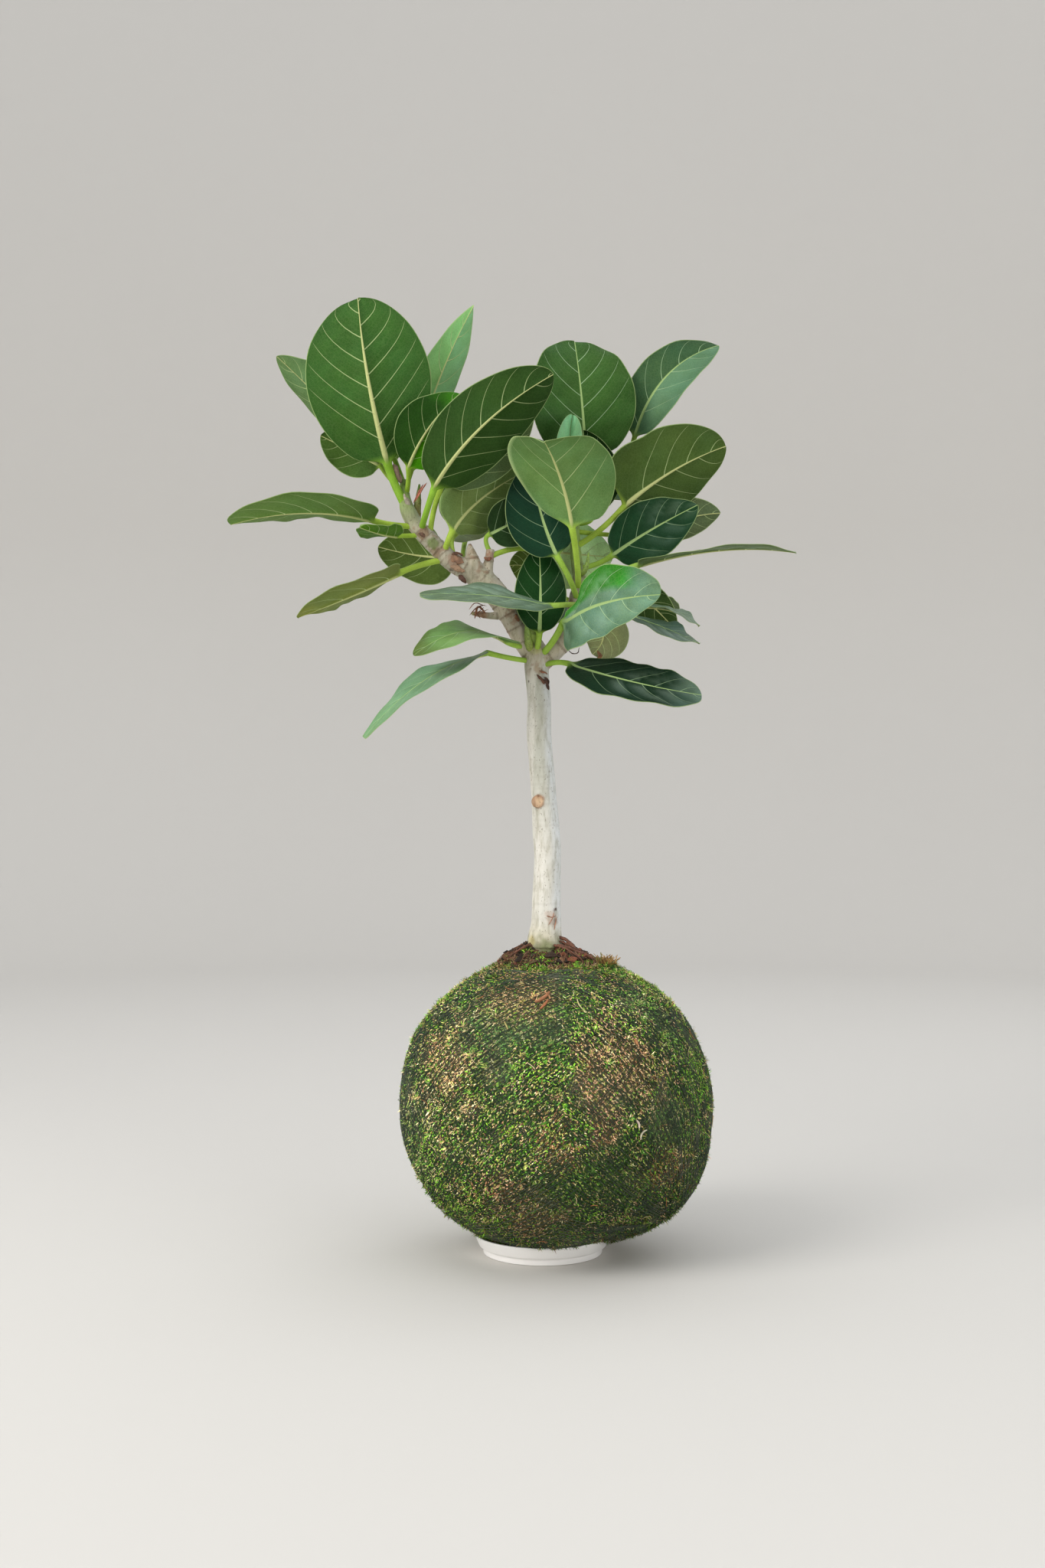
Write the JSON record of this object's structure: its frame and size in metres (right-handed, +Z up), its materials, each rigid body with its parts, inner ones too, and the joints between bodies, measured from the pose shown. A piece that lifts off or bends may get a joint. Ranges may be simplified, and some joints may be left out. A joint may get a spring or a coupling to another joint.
{
  "type": "kokedama moss ball plant",
  "caption": "Young broad-leaved fig tree rooted in a round ball of soil wrapped in moss and thread, standing in a shallow round dish.",
  "frame": {"origin": "middle of the flat underside of the dish, on the surface that the plant stands on", "axes": "+Z up along the trunk, +X to the right and +Y away from the viewer of the plant's best side"},
  "size_m": [0.4613, 0.2646, 0.8044],
  "materials": {
    "dish": "white plastic with a soft sheen",
    "soil": "damp dark brown crumbs and fibres, rough",
    "moss": "deep mixed green moss, with olive and tan patches, soft and rough",
    "thread": "thin dark green-grey twisted thread, matt",
    "bark": "pale cream bark with grey-green streaks, fine speckle and brown scars",
    "root": "reddish brown surface roots, slightly rough",
    "bud": "pale green bud, pinkish at the base",
    "leaf_underside": "olive leaf underside, satin, with a thick pale midrib",
    "leaf_upper": "blue-green leathery leaf, glossy, with thin pale veins",
    "leaf_young": "bright green young leaf, satin, pale veins"
  },
  "bodies": {
    "root": {"dish": "dish", "soil": "soil", "moss": "moss", "thread": "thread", "wood": "bark", "roots": "root", "bud_left": "bud", "bud_right": "bud", "bud_fork": "bud", "leaf_left_1": "leaf_underside", "leaf_left_2": "leaf_underside", "leaf_left_3": "leaf_young", "leaf_left_4": "leaf_underside", "leaf_left_5": "leaf_underside", "leaf_left_6": "leaf_underside", "leaf_left_7": "leaf_young", "leaf_left_8": "leaf_underside", "leaf_left_9": "leaf_underside", "leaf_left_10": "leaf_underside", "leaf_left_11": "leaf_underside", "leaf_left_12": "leaf_underside", "leaf_left_13": "leaf_upper", "leaf_left_14": "leaf_young", "leaf_top_1": "leaf_upper", "leaf_top_2": "leaf_upper", "leaf_top_3": "leaf_upper", "leaf_top_4": "leaf_upper", "leaf_mid_1": "leaf_underside", "leaf_mid_2": "leaf_upper", "leaf_mid_3": "leaf_underside", "leaf_mid_4": "leaf_underside", "leaf_mid_5": "leaf_upper", "leaf_mid_6": "leaf_upper", "leaf_mid_7": "leaf_upper", "leaf_mid_8": "leaf_underside", "leaf_right_1": "leaf_underside", "leaf_right_2": "leaf_upper", "leaf_right_3": "leaf_underside", "leaf_right_4": "leaf_upper", "leaf_right_5": "leaf_upper", "leaf_right_6": "leaf_upper", "leaf_right_7": "leaf_underside", "leaf_low_1": "leaf_upper", "leaf_low_2": "leaf_upper", "leaf_low_3": "leaf_upper", "leaf_back_1": "leaf_upper", "leaf_back_2": "leaf_upper", "leaf_back_3": "leaf_upper", "leaf_back_4": "leaf_upper", "leaf_back_5": "leaf_upper", "leaf_back_6": "leaf_upper"}
  },
  "joints": []
}
